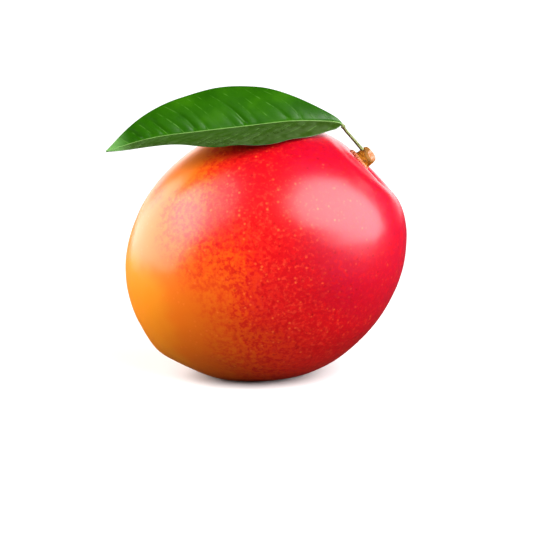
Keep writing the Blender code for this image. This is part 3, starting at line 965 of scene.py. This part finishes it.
def leaf_stalk_skin():
    """Smooth green skin with a dull shine, and painted shade on the side that faces down."""
    material, add, shader, place = new_material("leaf stalk skin", 0.5, IOR=1.45)
    streaks = add("TexNoise", {"Vector": place, "Scale": 1 / STREAK_SIZE, "Detail": 3.0, "Roughness": 0.6})
    green = add("ValToRGB", (streaks,), stops=STALK_COLOURS)
    upwards = add("SeparateXYZ", (add("NewGeometry", output="Normal"),), "Z")
    # Painted shade: where the normal faces down, the green is darkened to a dark olive.
    colour = lay_over(add, green, [([(upwards, -0.1, -0.7)], 0.75, "#263206", "MIX")])
    return finish_material(material, shader, colour)


leaf_stalk_mesh.materials.append(leaf_stalk_skin())

# %% The colours of the blade
CLOUD_SIZE = 9 * MM
SHEEN_AND_VEIN_NOISE_SIZE = 3 * MM

# Real cells are a tenth of this size or less. They are drawn as coarse as they need to show.
CELL_SIZE = 0.5 * MM
LEAF_RELIEF = 0.03 * MM
TOP_COLOURS = [(0.30, "#204E00"), (0.50, "#265600"), (0.72, "#2E5E02")]
# The near half's painted grey sheen, from its painted shade to its lit colour.
NEAR_SHEEN_COLOURS = [(0.25, "#304014"), (0.80, "#465434")]
UNDERSIDE_COLOURS = [(0.30, "#5A8A44"), (0.70, "#729E58")]


def vein_count_nodes(add, along, out, near):
    """The number that vein_count works out for the mesh, from the lengths kept in centimetres."""
    lean = add("Math", (out, -VEIN_LEAN, along), operation="MULTIPLY_ADD")
    square = add("Math", (out, out), operation="MULTIPLY")
    length = add("Math", (square, -VEIN_CURL * CM, lean), operation="MULTIPLY_ADD")
    count = add("Math", (length, CM / VEIN_SPACING), operation="MULTIPLY")
    for amount, wave_length, phase in VEIN_WANDER:
        angle = add("Math", (along, CM / wave_length, phase), operation="MULTIPLY_ADD")
        wave = add("Math", (angle,), operation="SINE")
        count = add("Math", (wave, amount, count), operation="MULTIPLY_ADD")
    return add("Math", (near, NEAR_VEIN_SHIFT, count), operation="MULTIPLY_ADD")


# %% The leaf blade
def leaf_cuticle():
    """A thick, smooth cuticle: the glossiest finish here, so light breaks on every vein and pillow."""
    material, add, shader, place = new_material("leaf cuticle", 0.22, IOR=1.45)
    along, side, edge, top = (
        add("Attribute", output="Fac", attribute_name=name) for name in ("along", "out", "edge", "top")
    )
    out = add("Math", (side,), operation="ABSOLUTE")
    near = add("Math", (side, 0.0), operation="LESS_THAN")
    count = vein_count_nodes(add, along, out, near)
    past_vein = add("Math", (count, add("Math", (count,), operation="ROUND")), operation="SUBTRACT")
    from_vein = add("Math", (past_vein,), operation="ABSOLUTE")
    clouds = add("TexNoise", {"Vector": place, "Scale": 1 / CLOUD_SIZE, "Detail": 3.0})
    sheen_and_vein_noise = add("TexNoise", {"Vector": place, "Scale": 1 / SHEEN_AND_VEIN_NOISE_SIZE, "Detail": 3.0})
    # Painted sheen and shade on the near half: a greyer green in place of the grey reflection it shows, made
    # darker and lighter between the side veins as painted shade of the pillows.
    angle = add("Math", (count, 2 * math.pi), operation="MULTIPLY")
    shade = add("Math", (add("Math", (angle,), operation="SINE"), 0.06, sheen_and_vein_noise), operation="MULTIPLY_ADD")
    near_sheen = add("ValToRGB", (shade,), stops=NEAR_SHEEN_COLOURS)
    green = add("ValToRGB", (clouds,), stops=TOP_COLOURS)
    green = lay_over(add, green, [([(near, 0.0, 1.0)], 0.8, near_sheen, "MIX")])
    pale = add("ValToRGB", (clouds,), stops=UNDERSIDE_COLOURS)
    colour = add("Mix", {SHARE: top, UNDER: pale, OVER: green}, BLENDED, data_type="RGBA")
    colour = lay_over(add, colour, [
        ([(from_vein, 0.055, 0.015), (edge, 0.97, 0.80), (sheen_and_vein_noise, 0.42, 0.66)], 0.28, "#6E9C48", "MIX"),
        ([(out, 0.045, 0.025)], 0.50, "#8AA868", "MIX"),
        ([(along, 8.2, 9.1)], 0.75, "#6E9A5A", "MIX"),
        ([(edge, 0.965, 0.995)], 0.50, "#16400A", "MIX"),
    ])
    cells = add("TexNoise", {"Vector": place, "Scale": 1 / CELL_SIZE})
    return finish_material(material, shader, colour, cells, 0.15, LEAF_RELIEF)


leaf_mesh.materials.append(leaf_cuticle())

# %% [markdown]
# ## Floor and light
#
# The photo was taken on white, with a large soft light on each side. The right one leaves a broad pink
# shine on the fruit's shoulder, the left one a peach one, and a weaker light in front on the left joins
# the two. A pale floor catches the contact shadow. The surroundings are brighter behind the fruit than
# in front of it, which keeps the leaf's colour deep and gives the edges their pale rim.

# %% The floor
FLOOR_HALF_SIZE = 3.0
SHADOW_EDGE = (0.07, 0.25)
GLOW_STRENGTH = 1.05


def floor_material():
    """Pale to the camera and darker to the light that it sends back. Past the shadow it glows white."""
    material, add, shader, place = new_material("pale floor", 0.9)
    tree = material.node_tree
    seen = add("LightPath", output="Is Camera Ray")
    glossy = seen.node.outputs["Is Glossy Ray"]
    bounce = add("Mix", {SHARE: glossy, UNDER: "#68625C", OVER: "#38342F"}, BLENDED, data_type="RGBA")
    colour = add("Mix", {SHARE: seen, UNDER: bounce, OVER: "#F0F0F0"}, BLENDED, data_type="RGBA")
    glow = add("Emission", {"Color": "#FFFFFF", "Strength": GLOW_STRENGTH})
    distance = add("VectorMath", (place,), "Value", operation="LENGTH")
    far = add("MapRange", (distance, *SHADOW_EDGE), **SMOOTH)
    glowing = add("Math", (far, seen), operation="MULTIPLY")
    both = add("MixShader", (glowing, shader.outputs[0], glow))
    tree.links.new(both, tree.nodes["Material Output"].inputs["Surface"])
    return finish_material(material, shader, colour)


corners = np.array([(-1, -1, 0), (1, -1, 0), (1, 1, 0), (-1, 1, 0)]) * FLOOR_HALF_SIZE
floor_mesh = bpy.data.meshes.new("floor")
floor_mesh.from_pydata(corners.tolist(), [], [(0, 1, 2, 3)])
floor_mesh.materials.append(floor_material())
floor = bpy.data.objects.new("floor", floor_mesh)
bpy.context.scene.collection.objects.link(floor)


# %% The soft lights
def soft_light(name, way, distance, width, height, brightness, roll=0):
    """An oval lamp facing the fruit. Its power is its brightness times pi times its area."""
    data = bpy.data.lights.new(name, "AREA")
    data.shape = "ELLIPSE"
    data.size = width
    data.size_y = height
    data.energy = brightness * math.pi * (math.pi / 4 * width * height)
    lamp = bpy.data.objects.new(name, data)
    away = Vector(way).normalized()
    lamp.location = Vector(FRUIT_CENTRE) + away * distance
    turned = away.to_track_quat("Z", "Y") @ Quaternion((0, 0, 1), math.radians(roll))
    lamp.rotation_euler = turned.to_euler()
    bpy.context.scene.collection.objects.link(lamp)
    print(name, "has", round(data.energy, 1), "W")


soft_light("right softbox", (0.755, -0.44, 0.49), 0.60, 1.04, 0.60, 6.8, -30)
soft_light("left softbox", (-0.94, 0.13, 0.19), 0.60, 1.15, 0.74, 4.1, 26)
soft_light("front softbox", (-0.73, -0.35, 0.59), 0.65, 0.62, 0.52, 2.8)

# %% The surroundings
BRIGHT_WAY = (0.0, 0.95, -0.30)
ROOM_BRIGHTNESS = 2.4
ROOM_COLOURS = [(0.80, "#2A2A2A"), (0.93, "#FFFFFF")]

world = bpy.data.worlds.new("white room")
bpy.context.scene.world = world
world.use_nodes = True
add = partial(add_node, world.node_tree)
way = add("TexCoord", output="Generated")
behind = add("VectorMath", (way, BRIGHT_WAY), "Value", operation="DOT_PRODUCT")
share = add("Math", (behind, 0.5, 0.5), operation="MULTIPLY_ADD")
room = add("ValToRGB", (share,), stops=ROOM_COLOURS)
seen = add("LightPath", output="Is Camera Ray")
colour = add("Mix", {SHARE: seen, UNDER: room, OVER: "#FFFFFF"}, BLENDED, data_type="RGBA")
background = world.node_tree.nodes["Background"]
world.node_tree.links.new(colour, background.inputs["Color"])
background.inputs["Strength"].default_value = ROOM_BRIGHTNESS
bpy.context.scene.view_settings.view_transform = "Standard"
bpy.context.scene.view_settings.look = "Medium High Contrast"
print("the room is", ROOM_BRIGHTNESS, "bright behind the fruit")
